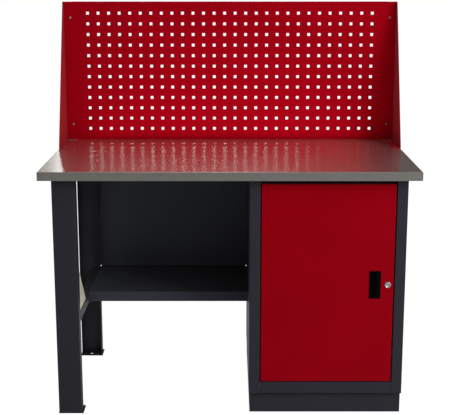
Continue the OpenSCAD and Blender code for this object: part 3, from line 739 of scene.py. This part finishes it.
class WORKBENCH_OT_fit_finger_pull(bpy.types.Operator):
    """Let the moulded finger pull into the door"""

    bl_idname = "workbench.fit_finger_pull"
    bl_label = "Fit the finger pull"

    def execute(self, context):
        sizes = context.scene.bench_pull
        colours, grain = context.scene.bench_colours, context.scene.bench_grain
        low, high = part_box("finger_pull")
        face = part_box("door_pan")[0][Y]
        rings = cup_rings(sizes, high[X] - low[X], high[Z] - low[Z], high[Y] - face)
        base = np.array([(low[X] + high[X]) / 2, face, (low[Z] + high[Z]) / 2])
        points = np.stack([rings[..., 0], -rings[..., 2], rings[..., 1]], -1) + base
        piece = shell("finger_cup", points, loop=True)
        plastic = moulded_plastic("Black moulded plastic", colours.plastic, grain.grit, 0.5)
        fit_piece(piece, plastic, "door", "black_plastic", "finger_pull")
        return {"FINISHED"}


# Stage

FLOOR_HALF = 12.0
CAMERA_PLACE = (0, -3.574, 1.4228)
CAMERA_SHIFT = 0.0013
SENSOR_WIDTH = 36

# How much of the floor the camera sees as an even white, and how strong that white is.
WHITE_SHARE, WHITE_STRENGTH = 0.7, 1.38

# The room that gloss mirrors. Each edge is soft, from one value to another: the opening's edges
# in x / y, the wall's top and the ceiling's start in z, and the front of the room in y.
OPENING_LEFT, OPENING_RIGHT = (-0.155, -0.14), (0.03, 0.09)
WALL_TOP, CEILING_START, ROOM_FRONT = (0.2, 0.28), (0.5, 0.62), (-0.2, 0.3)

# Lamps: name, the setting that gives its power and its share of that, where it stands, what it
# faces, its width and height in metres, and whether gloss mirrors it. The bounce lamp lies on
# the worktop and stands for the light that the bright sheet throws up at the board.
LAMPS = [
    ("key", "key", 1.0, (3.0, -2.8, 2.2), (0, 0, 0.8), 2.0, 2.0, True),
    ("front", "key", 0.38, (1.8, -2.4, 3.3), (0, 0, 0.8), 4.0, 4.0, False),
    ("top", "key", 0.28, (0.25, -0.9, 3.2), (0, 0.1, 0.8), 4.0, 4.0, False),
    ("rear", "rear", 0.25, (-1.23, 4.3, 2.76), (0, 0.2, 0.8), 0.12, 0.12, True),
    ("bounce", "key", 0.031, (0.0, -0.01, 0.822), (0.0, -0.01, 2), 0.98, 0.6, False),
    ("rear_strip", "rear", 0.5, (-0.29, 4.3, 2.76), (0, 0.2, 0.8), 1.68, 0.3, True),
]


def studio_world(fill):
    """A white surround for the camera and for glass, an even grey for light, and for gloss a
    room: behind the bench a low wall, pale at the left and brown at the right, with a bright
    opening in it, then a dim band, a ceiling that is bright over the opening, and a dim front."""
    world = bpy.data.worlds.new("Studio")
    world.use_nodes = True
    tree = world.node_tree
    tree.nodes.clear()
    path = add(tree, "ShaderNodeLightPath").node.outputs
    way = add(tree, "ShaderNodeTexCoord", output="Generated")
    part = add(tree, "ShaderNodeSeparateXYZ", {"Vector": way}).node.outputs
    ahead = add(tree, "ShaderNodeMath", {0: part["Y"], 1: 0.05}, operation="MAXIMUM")
    aside = add(tree, "ShaderNodeMath", {0: part["X"], 1: ahead}, operation="DIVIDE")
    from_left = vary(tree, aside, 0.0, 1.0, *OPENING_LEFT)
    to_right = vary(tree, aside, 1.0, 0.0, *OPENING_RIGHT)
    opening = add(tree, "ShaderNodeMath", {0: from_left, 1: to_right}, operation="MULTIPLY")
    brown, pale = rgba(linear("#5F4A43")), rgba(linear("#C9C4BD"))
    band, front = rgba(linear("#3C3A3A")), rgba(linear("#4C4A48"))
    bright, dim_ceiling, lit_ceiling = (1.08, 1.02, 0.94, 1), (0.25,) * 3 + (1,), (0.95,) * 3 + (1,)
    plain = vary(tree, to_right, brown, pale, 0.0, 1.0)
    wall = vary(tree, opening, plain, bright, 0.0, 1.0)
    rear = vary(tree, part["Z"], wall, band, *WALL_TOP)
    around = vary(tree, part["Y"], front, rear, *ROOM_FRONT)
    over = vary(tree, opening, dim_ceiling, lit_ceiling, 0.0, 1.0)
    room = vary(tree, part["Z"], around, over, *CEILING_START)
    mirrored = add(tree, "ShaderNodeBackground", {"Color": room, "Strength": 1.0})
    even = add(tree, "ShaderNodeBackground", {"Color": (1, 1, 1, 1), "Strength": fill})
    white = add(tree, "ShaderNodeBackground", {"Color": (1, 1, 1, 1), "Strength": 1.0})
    lit = add(tree, "ShaderNodeMixShader", {0: path["Is Glossy Ray"], 1: even, 2: mirrored})
    rays = {0: path["Is Camera Ray"], 1: path["Is Transmission Ray"]}
    seen = add(tree, "ShaderNodeMath", rays, operation="MAXIMUM")
    last = add(tree, "ShaderNodeMixShader", {0: seen, 1: lit, 2: white})
    add(tree, "ShaderNodeOutputWorld", {"Surface": last})
    return world


def pale_floor():
    """A white floor, matt for light. The camera sees mostly an even white on it, so that
    only a part of the bench's shadow shows. Gloss mirrors it dark in front and bright behind."""
    material, tree, place = start_finish("Pale floor")
    cloud = add(tree, "ShaderNodeTexNoise", {"Vector": place, "Scale": 1 / (400 * MM)})
    grey, pale = rgba(linear("#DADAD8")), rgba(linear("#E0E0DE"))
    matt = add(
        tree, "ShaderNodeBsdfPrincipled",
        {"Base Color": vary(tree, cloud, grey, pale, 0.0, 1.0), "Roughness": 0.9},
    )
    path = add(tree, "ShaderNodeLightPath").node.outputs
    rays = {0: path["Is Camera Ray"], 1: path["Is Transmission Ray"]}
    seen = add(tree, "ShaderNodeMath", rays, operation="MAXIMUM")
    shown = add(tree, "ShaderNodeMath", {0: seen, 1: path["Is Glossy Ray"]}, operation="MAXIMUM")
    share = add(tree, "ShaderNodeMath", {0: shown, 1: WHITE_SHARE}, operation="MULTIPLY")
    depth = add(tree, "ShaderNodeSeparateXYZ", {"Vector": place}, "Y")
    mirrored = vary(tree, depth, 0.08, 1.2, -0.4, 0.2)
    strengths = {0: path["Is Glossy Ray"], 2: WHITE_STRENGTH, 3: mirrored}
    strength = add(tree, "ShaderNodeMix", strengths)
    white = add(tree, "ShaderNodeEmission", {"Color": (1, 1, 1, 1), "Strength": strength})
    mixed = add(tree, "ShaderNodeMixShader", {0: share, 1: matt, 2: white})
    add(tree, "ShaderNodeOutputMaterial", {"Surface": mixed})
    return material


def soft_lamp(name, place, target, width, height, power, mirrored):
    """A soft lamp that faces target and that the camera doesn't see."""
    lamp = bpy.data.objects.new(name, bpy.data.lights.new(name, "AREA"))
    lamp.data.shape = "RECTANGLE"
    lamp.data.size, lamp.data.size_y = width, height
    lamp.data.energy = power
    lamp.location = place
    lamp.rotation_euler = (Vector(target) - Vector(place)).to_track_quat("-Z", "Y").to_euler()
    lamp.visible_glossy = mirrored
    lamp.visible_camera = False
    bpy.context.scene.collection.objects.link(lamp)


class WORKBENCH_OT_set_stage(bpy.types.Operator):
    """Set the pale floor, the soft light and the camera"""

    bl_idname = "workbench.set_stage"
    bl_label = "Set the stage"

    def execute(self, context):
        scene, stage = context.scene, context.scene.bench_stage
        mesh = bpy.data.meshes.new("floor")
        corners = FLOOR_HALF * np.array([[-1, -1, 0], [1, -1, 0], [1, 1, 0], [-1, 1, 0]])
        mesh.from_pydata(corners.tolist(), [], [(0, 1, 2, 3)])
        floor = bpy.data.objects.new("floor", mesh)
        mesh.materials.append(pale_floor())
        scene.collection.objects.link(floor)
        scene.world = studio_world(stage.fill)
        for name, source, share, place, target, width, height, mirrored in LAMPS:
            power = share * getattr(stage, source)
            soft_lamp(name, place, target, width, height, power, mirrored)
        camera = bpy.data.objects.new("camera", bpy.data.cameras.new("camera"))
        camera.data.lens = stage.lens
        camera.data.sensor_fit = "HORIZONTAL"
        camera.data.sensor_width = SENSOR_WIDTH
        camera.data.shift_x = CAMERA_SHIFT
        camera.data.clip_end = 50
        camera.location = CAMERA_PLACE
        camera.rotation_euler = (stage.pitch, 0, 0)
        scene.collection.objects.link(camera)
        scene.camera = camera
        scene.view_settings.view_transform = "Standard"
        return {"FINISHED"}


class WORKBENCH_PT_sidebar(bpy.types.Panel):
    """The workbench's sizes, colours and steps"""

    bl_idname = "WORKBENCH_PT_sidebar"
    bl_label = "Steel workbench"
    bl_space_type = "VIEW_3D"
    bl_region_type = "UI"
    bl_category = "Workbench"

    def draw(self, context):
        for holder in PROPERTY_GROUPS:
            box = self.layout.box()
            settings = getattr(context.scene, holder)
            for name in settings.bl_rna.properties.keys():
                if name not in {"rna_type", "name"}:
                    box.prop(settings, name)
        for operator in OPERATORS:
            self.layout.operator(operator.bl_idname)


PROPERTY_GROUPS = {
    "bench_colours": BenchColours,
    "bench_grain": BenchGrain,
    "bench_screws": ScrewSizes,
    "bench_lock": LockSizes,
    "bench_pull": PullSizes,
    "bench_bead": BeadSizes,
    "bench_stage": StageSettings,
}
OPERATORS = [
    WORKBENCH_OT_coat_steel,
    WORKBENCH_OT_finish_metal,
    WORKBENCH_OT_drive_screws,
    WORKBENCH_OT_fit_lock,
    WORKBENCH_OT_fit_finger_pull,
    WORKBENCH_OT_lay_bead,
    WORKBENCH_OT_set_stage,
]


def register():
    for group in PROPERTY_GROUPS.values():
        bpy.utils.register_class(group)
    for kind in [*OPERATORS, WORKBENCH_PT_sidebar]:
        bpy.utils.register_class(kind)
    for name, group in PROPERTY_GROUPS.items():
        setattr(bpy.types.Scene, name, PointerProperty(type=group))


def unregister():
    for name in PROPERTY_GROUPS:
        delattr(bpy.types.Scene, name)
    for kind in [WORKBENCH_PT_sidebar, *OPERATORS, *PROPERTY_GROUPS.values()]:
        bpy.utils.unregister_class(kind)


def main():
    register()
    bpy.ops.workbench.coat_steel()
    bpy.ops.workbench.finish_metal()
    bpy.ops.workbench.drive_screws()
    bpy.ops.workbench.fit_lock()
    bpy.ops.workbench.fit_finger_pull()
    bpy.ops.workbench.lay_bead()
    bpy.ops.workbench.set_stage()


if __name__ == "__main__":
    main()
